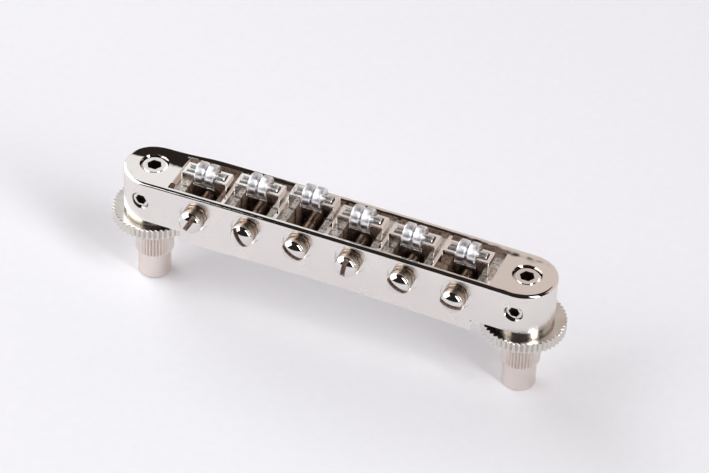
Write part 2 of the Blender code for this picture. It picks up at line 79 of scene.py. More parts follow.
BODY_LOW = low("bridge_body")
BODY_HIGH = high("bridge_body")
POST_X = middle("post_right").x
STRING_X = [middle(f"saddle_{n + 1}").x for n in range(STRINGS)]
SCREW_Z = [middle(f"intonation_screw_{n + 1}").z for n in range(STRINGS)]
AXLE_Z = [middle(f"axle_{n + 1}").z for n in range(STRINGS)]
print("post spacing mm:", round(2 * POST_X / MM, 2))
print("body length mm:", round((BODY_HIGH.x - BODY_LOW.x) / MM, 2))

# %% [markdown]
# The camera stands in front of the bridge and to its right, and looks down by 40 degrees.
# Its place was worked out from the ellipses of the wheels, posts and bushings: a long lens
# from about 0.64 metres gives the mild convergence of the long body.

# %% Camera
CAMERA_TARGET = Vector((3.407, 0.0, 22.316)) * MM
CAMERA_AZIMUTH = math.radians(21.513)
CAMERA_ELEVATION = math.radians(40.048)
CAMERA_ROLL = math.radians(2.484)
CAMERA_DISTANCE = 639.06 * MM
SENSOR_WIDTH = 36.0
FOCAL_LENGTH = 177.76

toward = Vector((
    math.sin(CAMERA_AZIMUTH) * math.cos(CAMERA_ELEVATION),
    -math.cos(CAMERA_AZIMUTH) * math.cos(CAMERA_ELEVATION),
    math.sin(CAMERA_ELEVATION),
))
right = (-toward).cross(Vector((0, 0, 1))).normalized()
up = right.cross(-toward)
image_right = right * math.cos(CAMERA_ROLL) + up * math.sin(CAMERA_ROLL)
image_up = -right * math.sin(CAMERA_ROLL) + up * math.cos(CAMERA_ROLL)
turn = Matrix((image_right, image_up, toward)).transposed().to_4x4()
camera_data = bpy.data.cameras.new("studio_camera")
camera_data.sensor_width = SENSOR_WIDTH
camera_data.lens = FOCAL_LENGTH
camera_data.clip_start = 0.01
camera = bpy.data.objects.new("studio_camera", camera_data)
camera.matrix_world = Matrix.Translation(TO_POSTS + CAMERA_TARGET + toward * CAMERA_DISTANCE) @ turn
bpy.context.scene.collection.objects.link(camera)
bpy.context.scene.camera = camera
bpy.context.scene.view_settings.view_transform = "Standard"
print("camera at mm:", [round(v / MM, 1) for v in camera.location])

# %% [markdown]
# Colours are written as the hex values that a paint program shows.
# Blender's shaders work in linear light, so one function turns them over.
# One more function adds a shader node with its settings and links.

# %% Colour and node helpers


def colour(hex_value):
    """Turn an sRGB hex colour into the linear RGBA that shaders expect."""
    channels = [int(hex_value[i:i + 2], 16) / 255 for i in (0, 2, 4)]
    linear = [c / 12.92 if c <= 0.04045 else ((c + 0.055) / 1.055) ** 2.4 for c in channels]
    return (*linear, 1.0)


def add_node(tree, kind, settings=None, links=None):
    """Add one node, set its properties or input values, and feed inputs from other sockets."""
    node = tree.nodes.new(kind)
    for name, value in (settings or {}).items():
        if isinstance(name, int) or name in node.inputs:
            node.inputs[name].default_value = value
        else:
            setattr(node, name, value)
    for name, source in (links or {}).items():
        tree.links.new(source, node.inputs[name])
    return node


def blank_material(name):
    """A new material whose node tree is empty."""
    material = bpy.data.materials.new(name)
    material.use_nodes = True
    material.node_tree.nodes.clear()
    return material


print("white in linear light:", colour("FFFFFF")[:3])

# %% [markdown]
# Polished metal has no colour of its own beyond a tint: it shows the room. So the room comes
# before the metal. Each point of the world's sphere gets two angles here, its bearing and its
# height, because a screen or a wall is easier to place in degrees than in coordinates.

# %% Directions in the room
world = bpy.data.worlds.new("studio_room")
bpy.context.scene.world = world
world.use_nodes = True
room = world.node_tree
room.nodes.clear()
where = add_node(room, "ShaderNodeTexCoord")
outward = add_node(room, "ShaderNodeSeparateXYZ", links={0: where.outputs["Generated"]})
leftward = add_node(room, "ShaderNodeMath", {"operation": "MULTIPLY", 1: -1.0}, {
    0: outward.outputs["X"]})
rear_angle = add_node(room, "ShaderNodeMath", {"operation": "ARCTAN2"}, {
    0: leftward.outputs[0], 1: outward.outputs["Y"]})
height_angle = add_node(room, "ShaderNodeMath", {"operation": "ARCSINE"}, {
    0: outward.outputs["Z"]})


def region(bearings, heights, soft):
    """A mask that is 1 between two bearings and two heights, in degrees, with soft edges."""
    steps = []
    for value, (first, last) in ((rear_angle, bearings), (height_angle, heights)):
        for edge, width in ((first, soft), (last, -soft)):
            limits = {"From Min": math.radians(edge - width), "From Max": math.radians(edge + width)}
            steps.append(add_node(room, "ShaderNodeMapRange", {
                "interpolation_type": "SMOOTHSTEP", **limits}, {"Value": value.outputs[0]}))
    mask = steps[0]
    for step in steps[1:]:
        mask = add_node(room, "ShaderNodeMath", {"operation": "MULTIPLY"}, {
            0: mask.outputs[0], 1: step.outputs[0]})
    return mask


print("direction nodes:", len(room.nodes))

# %% [markdown]
# Overhead and in front the room is dim, which draws the dark lines along the rounded rims.
# Behind the bridge a white screen stands on the left and a beige wall on the right, and low
# down between the two the dim room shows through a gap with a step at its top.
# The camera itself sees a plain pale backdrop instead, so only the metal shows the room.

# %% Screen, wall and gap
SCREEN_COLOUR = "FBFBFD"
WALL_COLOUR = "DDD0CA"
DIM_COLOUR = "2B2623"
BACKDROP_COLOUR = "F0F1F6"
ROOM_STRENGTH = 1.05
SCREEN_HEIGHTS = (-20.0, 47.0)
GAP_TOP = 36.5

surround = None
for hex_value, mask in (
    (SCREEN_COLOUR, region((22.5, 80.0), SCREEN_HEIGHTS, 1.0)),
    (WALL_COLOUR, region((-75.0, 22.5), SCREEN_HEIGHTS, 1.5)),
    (DIM_COLOUR, region((18.5, 31.5), (SCREEN_HEIGHTS[0], GAP_TOP), 0.8)),
    (DIM_COLOUR, region((15.0, 20.0), (25.0, GAP_TOP), 0.8)),
):
    tones = {"data_type": "RGBA", 6: colour(DIM_COLOUR), 7: colour(hex_value)}
    mix = add_node(room, "ShaderNodeMix", tones, {"Factor": mask.outputs[0]})
    if surround:
        room.links.new(surround.outputs[2], mix.inputs[6])
    surround = mix
ray = add_node(room, "ShaderNodeLightPath")
seen = add_node(room, "ShaderNodeBackground", {"Strength": ROOM_STRENGTH}, {
    "Color": surround.outputs[2]})
backdrop = add_node(room, "ShaderNodeBackground", {"Color": colour(BACKDROP_COLOUR), "Strength": 1.0})
choice = add_node(room, "ShaderNodeMixShader", links={
    "Fac": ray.outputs["Is Camera Ray"], 1: seen.outputs[0], 2: backdrop.outputs[0]})
add_node(room, "ShaderNodeOutputWorld", links={"Surface": choice.outputs[0]})
print("room nodes:", len(room.nodes))

# %% [markdown]
# The bridge stands on a sheet of matt white paper. Paper scatters light evenly, and its pulp
# gives it a faint cloudiness, drawn coarser here than real fibres so that it shows at all.

# %% Paper on the table
TABLE_SIZE = 1.6
FIBRES_ACROSS = 900.0
PAPER_DARK = "F0F0F5"
PAPER_LIGHT = "F2F2F7"

table_mesh = bpy.data.meshes.new("table")
edge = TABLE_SIZE / 2
corners = [(-edge, -edge, 0), (edge, -edge, 0), (edge, edge, 0), (-edge, edge, 0)]
table_mesh.from_pydata(corners, [], [(0, 1, 2, 3)])
table = bpy.data.objects.new("table", table_mesh)
bpy.context.scene.collection.objects.link(table)
paper = blank_material("matt_paper")
fibre = add_node(paper.node_tree, "ShaderNodeTexNoise", {"Scale": FIBRES_ACROSS, "Detail": 3.0})
spread = add_node(paper.node_tree, "ShaderNodeMapRange", {"From Min": 0.3, "From Max": 0.7}, {
    "Value": fibre.outputs["Fac"]})
tones = {"data_type": "RGBA", 6: colour(PAPER_DARK), 7: colour(PAPER_LIGHT)}
shade = add_node(paper.node_tree, "ShaderNodeMix", tones, {"Factor": spread.outputs["Result"]})
surface = add_node(paper.node_tree, "ShaderNodeBsdfPrincipled", {"Roughness": 0.9}, {
    "Base Color": shade.outputs[2]})
add_node(paper.node_tree, "ShaderNodeOutputMaterial", links={"Surface": surface.outputs[0]})
table_mesh.materials.append(paper)
print("paper cloud mm:", round(TABLE_SIZE / FIBRES_ACROSS / MM, 2))

# %% [markdown]
# A wide softbox on the left and a narrow upright strip on the right face each other along
# the bridge. They light the table evenly, leave little shadow beside the long body, and the
# domed screw heads mirror both: a broad white area on the left and a thin line on the right.

# %% Softboxes


def softbox(name, azimuth, elevation, distance, width, height, radiance):
    """A rectangular lamp aimed at the bridge; azimuth 0 is behind it, positive to the left."""
    turn_left = math.radians(azimuth)
    rise = math.radians(elevation)
    level = math.cos(rise)
    direction = Vector((-math.sin(turn_left) * level, math.cos(turn_left) * level, math.sin(rise)))
    data = bpy.data.lights.new(name, "AREA")
    data.shape = "RECTANGLE"
    data.size = width
    data.size_y = height
    data.energy = radiance * math.pi * width * height
    lamp = bpy.data.objects.new(name, data)
    lamp.location = direction * distance
    lamp.rotation_euler = (-direction).to_track_quat("-Z", "Y").to_euler()
    bpy.context.scene.collection.objects.link(lamp)
    print(name, "at", [round(v, 2) for v in lamp.location])


softbox("softbox_left", azimuth=98, elevation=31, distance=0.9, width=1.6, height=0.95,
        radiance=2.62)
softbox("strip_right", azimuth=-113, elevation=34, distance=0.9, width=0.20, height=0.95,
        radiance=9.6)

# %% [markdown]
# Every metal of the bridge is one recipe with different measures. A metal is bright or dull
# by its roughness, and no real surface has one roughness all over: wiping and handling leave
# clouds of haze, plating leaves faint waves, and a casting has small dark pits. All of them are
# noise in the piece's own space, each at a size in millimetres.
# Real plating waves are a few micrometres deep, too shallow to show, so they are drawn deeper.

# %% Recipe for a metal
MICRON = 0.001 * MM
WAVE_GAIN = 50
CLOUD_SHADE = 0.93
PIT_SIZE = 0.45 * MM
PIT_COLOUR = "3B302A"


def metal(name, hex_value, roughness, cloud_mm=6.0, cloud=0.05, wave_mm=4.0, wave_um=1.0,
          ridged=0.0, pitted=0.0, bare=1.0):
    """A metal with cloudy roughness and slight waves.

    ridged is how much turning marks round X spread the light, pitted is how dark its pits are,
    and bare is how much of the surface shines as metal; below 1 it is partly dull.
    """
    material = blank_material(name)
    tree = material.node_tree
    place = add_node(tree, "ShaderNodeTexCoord").outputs["Object"]
    clouds = add_node(tree, "ShaderNodeTexNoise", {"Scale": 1 / (cloud_mm * MM), "Detail": 4.0}, {
        "Vector": place})
    haze = add_node(tree, "ShaderNodeMapRange", {
        "From Min": 0.3, "From Max": 0.7, "To Min": roughness, "To Max": roughness + cloud},
        {"Value": clouds.outputs["Fac"]})
    waves = add_node(tree, "ShaderNodeTexNoise", {"Scale": 1 / (wave_mm * MM), "Detail": 1.0}, {
        "Vector": place})
    bump = add_node(tree, "ShaderNodeBump", {
        "Distance": wave_um * MICRON * WAVE_GAIN, "Strength": 0.2}, {"Height": waves.outputs["Fac"]})
    full = colour(hex_value)
    hazy = tuple(channel * CLOUD_SHADE for channel in full[:3]) + (1.0,)
    tint = add_node(tree, "ShaderNodeMix", {"data_type": "RGBA", 6: full, 7: hazy}, {
        "Factor": clouds.outputs["Fac"]})
    grain = add_node(tree, "ShaderNodeTexNoise", {"Scale": 1 / PIT_SIZE, "Detail": 2.0}, {
        "Vector": place})
    pits = add_node(tree, "ShaderNodeMapRange", {
        "From Min": 0.52, "From Max": 0.62, "To Max": pitted}, {"Value": grain.outputs["Fac"]})
    stained = add_node(tree, "ShaderNodeMix", {"data_type": "RGBA", 7: colour(PIT_COLOUR)}, {
        "Factor": pits.outputs["Result"], 6: tint.outputs[2]})
    shader = add_node(tree, "ShaderNodeBsdfPrincipled", {"Metallic": bare}, {
        "Base Color": stained.outputs[2], "Roughness": haze.outputs["Result"],
        "Normal": bump.outputs["Normal"]})
    if ridged:
        around = add_node(tree, "ShaderNodeTangent", {"direction_type": "RADIAL", "axis": "X"})
        tree.links.new(around.outputs[0], shader.inputs["Tangent"])
        shader.inputs["Anisotropic"].default_value = ridged
        shader.inputs["Anisotropic Rotation"].default_value = 0.25
    add_node(tree, "ShaderNodeOutputMaterial", links={"Surface": shader.outputs[0]})
    return material


print("plating waves are drawn", WAVE_GAIN, "times as deep as they are")

# %% [markdown]
# Most pieces of a bridge are turned, milled or cast, so a few mesh tools make them all:
# a loft between rings, an extruded outline and a turned profile. They build plain vertices and
# faces, which keeps every size exact and lets a thread or a tooth be worked out by a formula.

# %% Lofts and outlines


def join_rows(bm, rows, closed=False):
    """Fill the faces between rows of vertices; closed also joins the last row to the first."""
    pairs = list(zip(rows, rows[1:])) + ([(rows[-1], rows[0])] if closed else [])
    for below, above in pairs:
        for i in range(len(below)):
            j = (i + 1) % len(below)
            bm.faces.new((below[i], below[j], above[j], above[i]))


def loft(bm, rings, closed=False):
    """Join rings of equal point counts, and cap the ends unless the rings close on themselves."""
    rows = [[bm.verts.new(point) for point in ring] for ring in rings]
    join_rows(bm, rows, closed)
    if not closed:
        bm.faces.new(list(reversed(rows[0])))
        bm.faces.new(rows[-1])


def along(axis, a, b, depth):
    """The point with outline coordinates a and b at a depth along X, Y or Z."""
    return {"x": (depth, a, b), "y": (a, depth, b), "z": (a, b, depth)}[axis]


def arc(radius, start, end, steps, centre=(0.0, 0.0)):
    """Points on an arc from one angle to another, in degrees."""
    points = []
    for step in range(steps + 1):
        angle = math.radians(start + (end - start) * step / steps)
        points.append((centre[0] + radius * math.cos(angle), centre[1] + radius * math.sin(angle)))
    return points


def circle(radius, steps, centre=(0.0, 0.0)):
    return arc(radius, 0, 360, steps, centre)[:-1]


def hexagon(across_flats):
    return circle(across_flats / math.sqrt(3), 6)


def prism(bm, outline, start, end, axis):
    """Extrude an outline between two depths."""
    loft(bm, [[along(axis, a, b, depth) for a, b in outline] for depth in (start, end)])


def plain_rings(profile, steps, axis):
    """Round rings from (radius, depth) pairs."""
    return [[along(axis, a, b, depth) for a, b in circle(radius, steps)] for radius, depth in profile]


def turned(profile, steps, axis, closed=False):
    """Turn a profile of (radius, depth) pairs about an axis."""
    bm = bmesh.new()
    loft(bm, plain_rings(profile, steps, axis), closed)
    return bm


print("corner radius of a 2.5 mm hexagon, mm:", round(hexagon(2.5)[0][0], 3))

# %% [markdown]
# Holes, sockets and slots are cut by boolean modifiers, as a mill would cut them, so the cut
# edges are true. Sharp corners then get a small bevel with hardened normals, because a plated
# edge always catches a thin highlight.

# %% Cutting and easing
SHARP_ANGLE = 28


def mesh_from(bm, name):
    """Turn a finished bmesh into a mesh whose faces all look outwards."""
    bmesh.ops.recalc_face_normals(bm, faces=bm.faces)
    mesh = bpy.data.meshes.new(name)
    bm.to_mesh(mesh)
    bm.free()
    return mesh


def evaluated_mesh(item, name):
    """The mesh of an object with its modifiers applied."""
    bpy.context.view_layer.update()
    ready = item.evaluated_get(bpy.context.evaluated_depsgraph_get())
    mesh = bpy.data.meshes.new_from_object(ready)
    mesh.name = name
    return mesh


def carve(blank, cutters, name, operation="DIFFERENCE"):
    """Cut the cutters out of a blank, or fuse them to it, and return the new mesh."""
    work = bpy.data.objects.new(name, blank)
    bpy.context.scene.collection.objects.link(work)
    tools = []
    for cutter in cutters:
        tool = bpy.data.objects.new(name + "_tool", cutter)
        bpy.context.scene.collection.objects.link(tool)
        tools.append(tool)
        cut = work.modifiers.new("cut", "BOOLEAN")
        cut.operation = operation
        cut.solver = "EXACT"
        cut.object = tool
    mesh = evaluated_mesh(work, name)
    for item in [work, *tools]:
        bpy.data.objects.remove(item)
    return mesh


def ease_edges(mesh, width, segments=2):
    """Bevel the sharp edges of a mesh and shade it as smooth metal with crisp flats."""
    work = bpy.data.objects.new("edges", mesh)
    bpy.context.scene.collection.objects.link(work)
    bevel = work.modifiers.new("bevel", "BEVEL")
    bevel.width = width
    bevel.segments = segments
    bevel.limit_method = "ANGLE"
    bevel.angle_limit = math.radians(SHARP_ANGLE)
    bevel.use_clamp_overlap = True
    bevel.harden_normals = True
    mesh.shade_smooth()
    eased = evaluated_mesh(work, mesh.name)
    bpy.data.objects.remove(work)
    return eased


print("edges sharper than", SHARP_ANGLE, "degrees are eased")

# %% [markdown]
# A finished mesh rides on the body of the solid it stands for, so it moves with its joint.
# One piece can carry several finishes: its faces are sorted by where their middles lie.

# %% Placing and finishing
SKIN = 0.02 * MM


def piece(name, mesh, material, body, nodes, location=(0.0, 0.0, 0.0), soft_angle=None):
    """Place a finished mesh, give it its metal, and hang it on the body of its solid."""
    mesh = mesh.copy()
    mesh.name = name
    mesh.materials.clear()
    mesh.materials.append(material)
    if soft_angle is not None:
        mesh.shade_smooth()
        mesh.set_sharp_from_angle(angle=math.radians(soft_angle))
    item = bpy.data.objects.new(name, mesh)
    item.location = TO_POSTS + Vector(location)
    bpy.context.scene.collection.objects.link(item)
    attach(item, body)
    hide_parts(*nodes)
    return item


def refinish(item, material, chosen):
    """Give another finish to the faces whose middle passes a test."""
    item.data.materials.append(material)
    changed = 0
    for polygon in item.data.polygons:
        if chosen(polygon.center):
            polygon.material_index = len(item.data.materials) - 1
            changed += 1
    return changed


print("a face counts as part of a cut within", SKIN / MM, "mm")

# %% [markdown]
# The body is a die-cast bar with round ends. Its top is slightly crowned and its rim is
# rounded, its belly follows the arch of the strings, and buffing has rolled the top off towards
# the rear. That roll is a few hundredths of a millimetre, yet it decides what the top mirrors,
# so it is modelled and not painted. The polish values are in millimetres.

# %% Body outline
HALF_WIDTH = BODY_HIGH.y
HALF_LENGTH = BODY_HIGH.x
MIDDLE_TOP = BODY_HIGH.z
HUB_GAP = 0.1 * MM
END_BOTTOM = high("thumbwheel_left").z + HUB_GAP
END_STEP = 1.73 * MM
MIDDLE_BOTTOM = END_BOTTOM - END_STEP
CROWN = 0.35 * MM
RIM_FILLET = 0.58 * MM
DRAFT = 0.1 * MM
ARCH_RADIUS = 448.0 * MM
BELLY_RADIUS = 520.0 * MM
ROUND_STEPS = 48
LENGTH_STEPS = 36
POLISH_START = 0.5
POLISH_EDGE = 4.4
POLISH_NEAR = 0.005
POLISH_ROLL = 0.05
POLISH_LEFT = 27.0
POLISH_FADE = 6.0
POLISH_EXTRA = 3


def arch_drop(x, radius=ARCH_RADIUS):
    """How far an arch over the middle has fallen at x."""
    return radius - math.sqrt(radius * radius - x * x)


def body_top(x):
    return MIDDLE_TOP - CROWN * (x / POST_X) ** 2


def polish_drop(x, y):
    """Buffing rolls the top off gently towards its rear edge, and more so at the left end."""
    left_end = min(1.0, max(0.0, -x / MM - POLISH_LEFT) / POLISH_FADE)
    near = max(0.0, y / MM - POLISH_START)
    edge = max(0.0, y / MM - POLISH_EDGE)
    gentle = POLISH_NEAR * (1 + POLISH_EXTRA * left_end) * near ** 2
    return (gentle + POLISH_ROLL * edge ** 2) * MM


def obround(inset, height_at):
    """A ring of the body's outline, front half from left to right and rear half back."""
    centre = HALF_LENGTH - HALF_WIDTH
    radius = HALF_WIDTH - inset
    front = arc(radius, 180, 270, ROUND_STEPS // 2, (-centre, 0.0))
    front += [(-centre + 2 * centre * k / LENGTH_STEPS, -radius) for k in range(1, LENGTH_STEPS)]
    front += arc(radius, 270, 360, ROUND_STEPS // 2, (centre, 0.0))
    outline = front + [(x, -y) for x, y in reversed(front[1:-1])]
    return [(x, y, height_at(x)) for x, y in outline]


print("top falls at the rear edge by mm:", round(polish_drop(0.0, HALF_WIDTH) / MM, 3))

# %% [markdown]
# The blank is lofted as rings that shrink round the rim. Its crown is filled by strips from
# front to rear, fine enough to follow the polish, and its belly by one strip of long faces.

# %% Body blank
FILLET_STEPS = 6
ACROSS_STEPS = 24


def fill_belly(bm, ring):
    """Close the ring below by one face per station, from the front edge to the rear."""
    half = len(ring) // 2
    for i in range(half):
        corners = (ring[i], ring[i + 1], ring[-i - 1], ring[-i % len(ring)])
        bm.faces.new(list(dict.fromkeys(corners)))


def fill_crown(bm, ring):
    """Close the ring above by a grid that follows the crown and the polish."""
    half = len(ring) // 2
    columns = [[ring[0]] * (ACROSS_STEPS + 1)]
    for i in range(1, half):
        front, rear = ring[i], ring[-i]
        column = [front]
        for k in range(1, ACROSS_STEPS):
            x = front.co.x
            y = front.co.y + (rear.co.y - front.co.y) * k / ACROSS_STEPS
            column.append(bm.verts.new((x, y, body_top(x) - polish_drop(x, y))))
        columns.append(column + [rear])
    columns.append([ring[half]] * (ACROSS_STEPS + 1))
    for here, after in zip(columns, columns[1:]):
        for k in range(ACROSS_STEPS):
            corners = (here[k], after[k], after[k + 1], here[k + 1])
            bm.faces.new(list(dict.fromkeys(corners)))


def body_blank():
    rings = [obround(DRAFT, lambda x: MIDDLE_BOTTOM - arch_drop(x, BELLY_RADIUS))]
    for step in range(FILLET_STEPS + 1):
        angle = math.pi / 2 * step / FILLET_STEPS
        inset = RIM_FILLET * (1 - math.cos(angle))
        drop = RIM_FILLET * (1 - math.sin(angle))
        ring = obround(inset, lambda x, drop=drop: body_top(x) - drop)
        rings.append([(x, y, z - polish_drop(x, y)) for x, y, z in ring])
    bm = bmesh.new()
    rows = [[bm.verts.new(point) for point in ring] for ring in rings]
    join_rows(bm, rows)
    fill_belly(bm, rows[0])
    fill_crown(bm, rows[-1])
    return mesh_from(bm, "body_blank")


blank = body_blank()
print("blank faces:", len(blank.polygons))

# %% [markdown]
# The recess is one bay per string. A ledge carries the saddle's arms, a deep channel clears
# its threaded block, and a thin fin stands between neighbours. The front wall is thinner
# than the rear wall. The two outer bays end in a leaning face with rounded corners, as a
# casting does so that it leaves its mould.

# %% Bays for the saddles
OVER = 2.0 * MM
FRONT_WALL = 1.0 * MM
REAR_WALL = 1.8 * MM
RECESS_FRONT = -HALF_WIDTH + FRONT_WALL
RECESS_REAR = HALF_WIDTH - REAR_WALL
LEDGE_DEPTH = 0.7 * MM
LEDGE = MIDDLE_TOP - LEDGE_DEPTH
CHANNEL_HALF = 3.15 * MM
CHANNEL_FLOOR = 5.9 * MM
FIN = 0.7 * MM
PITCH = STRING_X[1] - STRING_X[0]
END_BAY_HALF = 5.6 * MM
RECESS_HALF = STRING_X[-1] + END_BAY_HALF
END_SLOPE = 0.45 * MM
RECESS_CORNER = 0.9 * MM


def bay_cutter():
    bm = bmesh.new()
    above = MIDDLE_TOP + OVER
    half_bay = (PITCH - FIN) / 2
    for n, x in enumerate(STRING_X):
        ledge = LEDGE - arch_drop(x)
        floor_z = ledge - CHANNEL_FLOOR
        lean = END_SLOPE * (above - ledge) / (MIDDLE_TOP - LEDGE)
        left_low, left_high = x - half_bay, x - half_bay
        right_low, right_high = x + half_bay, x + half_bay
        if n == 0:
            left_low = END_SLOPE - RECESS_HALF
            left_high = left_low - lean
        if n == STRINGS - 1:
            right_low = RECESS_HALF - END_SLOPE
            right_high = right_low + lean
        outline = [
            (left_high, above), (left_low, ledge),
            (x - CHANNEL_HALF, ledge), (x - CHANNEL_HALF, floor_z),
            (x + CHANNEL_HALF, floor_z), (x + CHANNEL_HALF, ledge),
            (right_low, ledge), (right_high, above)]
        prism(bm, outline, RECESS_FRONT, RECESS_REAR, "y")
    bm.normal_update()
    limit = STRING_X[-1] + PITCH / 2
    corners = [e for e in bm.edges if all(abs(v.co.x) > limit for v in e.verts)
               and abs(e.verts[0].co.z - e.verts[1].co.z) > MIDDLE_TOP - LEDGE]
    bmesh.ops.bevel(bm, geom=corners, offset=RECESS_CORNER, segments=5, profile=0.5, affect="EDGES")
    return mesh_from(bm, "bays")


print("string spacing mm:", round(PITCH / MM, 2))

# %% [markdown]
# The body's ends are stepped up over the thumbwheels. Each post, lock screw and intonation
# screw has its own hole, and every intonation screw's head sits in a shallow counterbore.

# %% Holes and steps
SINK_RADIUS = 3.0 * MM
SINK_DEPTH = 0.45 * MM
SCREW_HOLE = 1.4 * MM
POST_HOLE = 2.77 * MM
LOCK_HOLE = 1.78 * MM
WHEEL_CLEARANCE = 0.15 * MM
RELIEF_X = POST_X - high("thumbwheel_left").y - WHEEL_CLEARANCE
LOCK_Z = middle("lock_screw_left").z


def hole_cutters():
    """Three cutters whose parts don't overlap: the steps, the through holes, the shallow ones."""
    relief, through, shallow = bmesh.new(), bmesh.new(), bmesh.new()
    outside = -HALF_WIDTH - OVER
    for side in (-1, 1):
        x = side * POST_X
        ends = sorted((side * RELIEF_X, side * (HALF_LENGTH + OVER)))
        step = [(ends[0], 0.0), (ends[1], 0.0), (ends[1], END_BOTTOM), (ends[0], END_BOTTOM)]
        prism(relief, step, outside, -outside, "y")
        prism(through, circle(POST_HOLE, 48, (x, 0.0)), 0.0, MIDDLE_TOP + OVER, "z")
        prism(shallow, circle(LOCK_HOLE, 40, (x, LOCK_Z)), outside, 0.0, "y")
    for x, z in zip(STRING_X, SCREW_Z):
        prism(through, circle(SCREW_HOLE, 32, (x, z)), outside, 0.0, "y")
        prism(shallow, circle(SINK_RADIUS, 48, (x, z)), outside, SINK_DEPTH - HALF_WIDTH, "y")
    return [mesh_from(bm, "cut") for bm in (relief, through, shallow)]


BODY_EASE = 0.09 * MM
body_mesh = ease_edges(carve(blank, [bay_cutter()] + hole_cutters(), "bridge_body"), BODY_EASE)
print("body faces:", len(body_mesh.polygons))

# %% [markdown]
# Nickel plate is a warm white metal that reflects about 70 per cent, a little more in red than
# in blue. How bright it looks depends on what lies below it. A buffing wheel reaches the top
# and the rim, brushes the side walls and misses the ledges. The deep channels get a dull brown
# finish that is painted shade, since little light reaches them.

# %% Finishes of the body
# Nickel over buffed zinc: a near mirror, with a very faint waviness and a thin haze of wiping.
MIRROR_NICKEL = metal("mirror_nickel_plate", "EAE6E2", 0.03, cloud=0.03, wave_mm=3.0, wave_um=3.0)
# The same plate with less buffing: pale and soft, it shows light and dark but no shapes.
SATIN_NICKEL = metal("buffed_nickel_plate", "EDE8E4", 0.26, cloud=0.06)
# Plate over raw casting: pale and grainy, with dark specks in its pits.
CAST_NICKEL = metal("unpolished_cast_nickel", "F2ECE6", 0.30, cloud_mm=0.5, cloud=0.16,
                    wave_mm=0.35, wave_um=2.0, pitted=0.55)
# Painted shade for the deep channels and the sawn slots: dull brown with hardly any shine.
PAINTED_SHADE_CASTING = metal("painted_shade_casting", "A48C7E", 0.45, cloud_mm=0.6, cloud=0.20,
                     wave_mm=0.4, wave_um=2.0, pitted=0.7, bare=0.3)
RECESS_LIP = 0.2 * MM
RECESS_DEPTH = CHANNEL_FLOOR + 1.2 * MM
LEDGE_SKIN = 0.15 * MM
SIDE_SKIN = 0.2 * MM


def in_recess(point):
    """True below the polished top, between the recess's front and rear walls."""
    across = RECESS_FRONT - SKIN < point.y < RECESS_REAR + SKIN
    along_body = abs(point.x) < RECESS_HALF
    return across and along_body and RECESS_LIP < body_top(point.x) - point.z < RECESS_DEPTH


def in_channel(point):
    """True below the ledges, in the deep channels that get the painted shade."""
    return in_recess(point) and point.z < LEDGE - arch_drop(point.x) - LEDGE_SKIN


def on_side_wall(point):
    """True on the upright outside faces, which are buffed less than the rim and the top."""
    beyond = max(0.0, abs(point.x) - (HALF_LENGTH - HALF_WIDTH))
    outside = math.hypot(beyond, point.y) > HALF_WIDTH - SIDE_SKIN
    return outside and point.z < body_top(point.x) - RIM_FILLET


shell = piece("body_shell", body_mesh, MIRROR_NICKEL, "bridge_body", ["bridge_body"])
print("faces in the recess:", refinish(shell, CAST_NICKEL, in_recess))
# The channels get the dull brown painted shade.
print("faces in the channels:", refinish(shell, PAINTED_SHADE_CASTING, in_channel))
print("faces on the side walls:", refinish(shell, SATIN_NICKEL, on_side_wall))

# %% [markdown]
# A saddle is a small casting: two arms that ride on the ledges, a block below them with the
# screw's thread, a slot for the roller that is open to the front and the rear, and a trough
# in which the axle lies. It is an extruded T, cut by three tools. Its edges are eased more
# than the body's, because tumbling in the plating barrel rounds a small piece.

# %% Saddles
# Barrel-plated nickel on a small casting: bright, with waves as small as the piece itself.
SADDLE_NICKEL = metal("cast_nickel_plate", "F4F0EC", 0.05, cloud_mm=2.5, cloud=0.05,
                      wave_mm=1.0, wave_um=1.5)
SADDLE_DEPTH = high("saddle_1").y - low("saddle_1").y
ARM_HALF = (high("saddle_1").x - low("saddle_1").x) / 2
BLOCK_HALF = 2.9 * MM
SLOT_HALF = 2.0 * MM
TROUGH_HALF = 3.8 * MM
SADDLE_TOP = high("saddle_1").z - SCREW_Z[0]
SADDLE_FOOT = low("saddle_1").z - SCREW_Z[0]
ARM_HEIGHT = 3.0 * MM
ARM_UNDER = SADDLE_TOP - ARM_HEIGHT
AXLE_RISE = AXLE_Z[0] - SCREW_Z[0]
LIP_DROP = 1.85 * MM
LIP_RISE = AXLE_RISE - LIP_DROP
ROLLER_RADIUS = (high("roller_1").z - low("roller_1").z) / 2
AXLE_RADIUS = (high("axle_1").z - low("axle_1").z) / 2
PLAY = 0.15 * MM
THREAD_RADIUS = 1.25 * MM
THREAD_PLAY = 0.05 * MM
SADDLE_EASE = 0.2 * MM


def roller_slot_outline(centre):
    """The roller's round seat, open above and towards the front and rear lips."""
    radius = ROLLER_RADIUS + PLAY
    lip_angle = math.degrees(math.asin((AXLE_RISE - LIP_RISE) / radius))
    outline = [(-OVER, SADDLE_TOP + OVER), (-OVER, LIP_RISE)]
    outline += arc(radius, 180 + lip_angle, 360 - lip_angle, 20, centre)
    outline += [(SADDLE_DEPTH + OVER, LIP_RISE), (SADDLE_DEPTH + OVER, SADDLE_TOP + OVER)]
    return outline


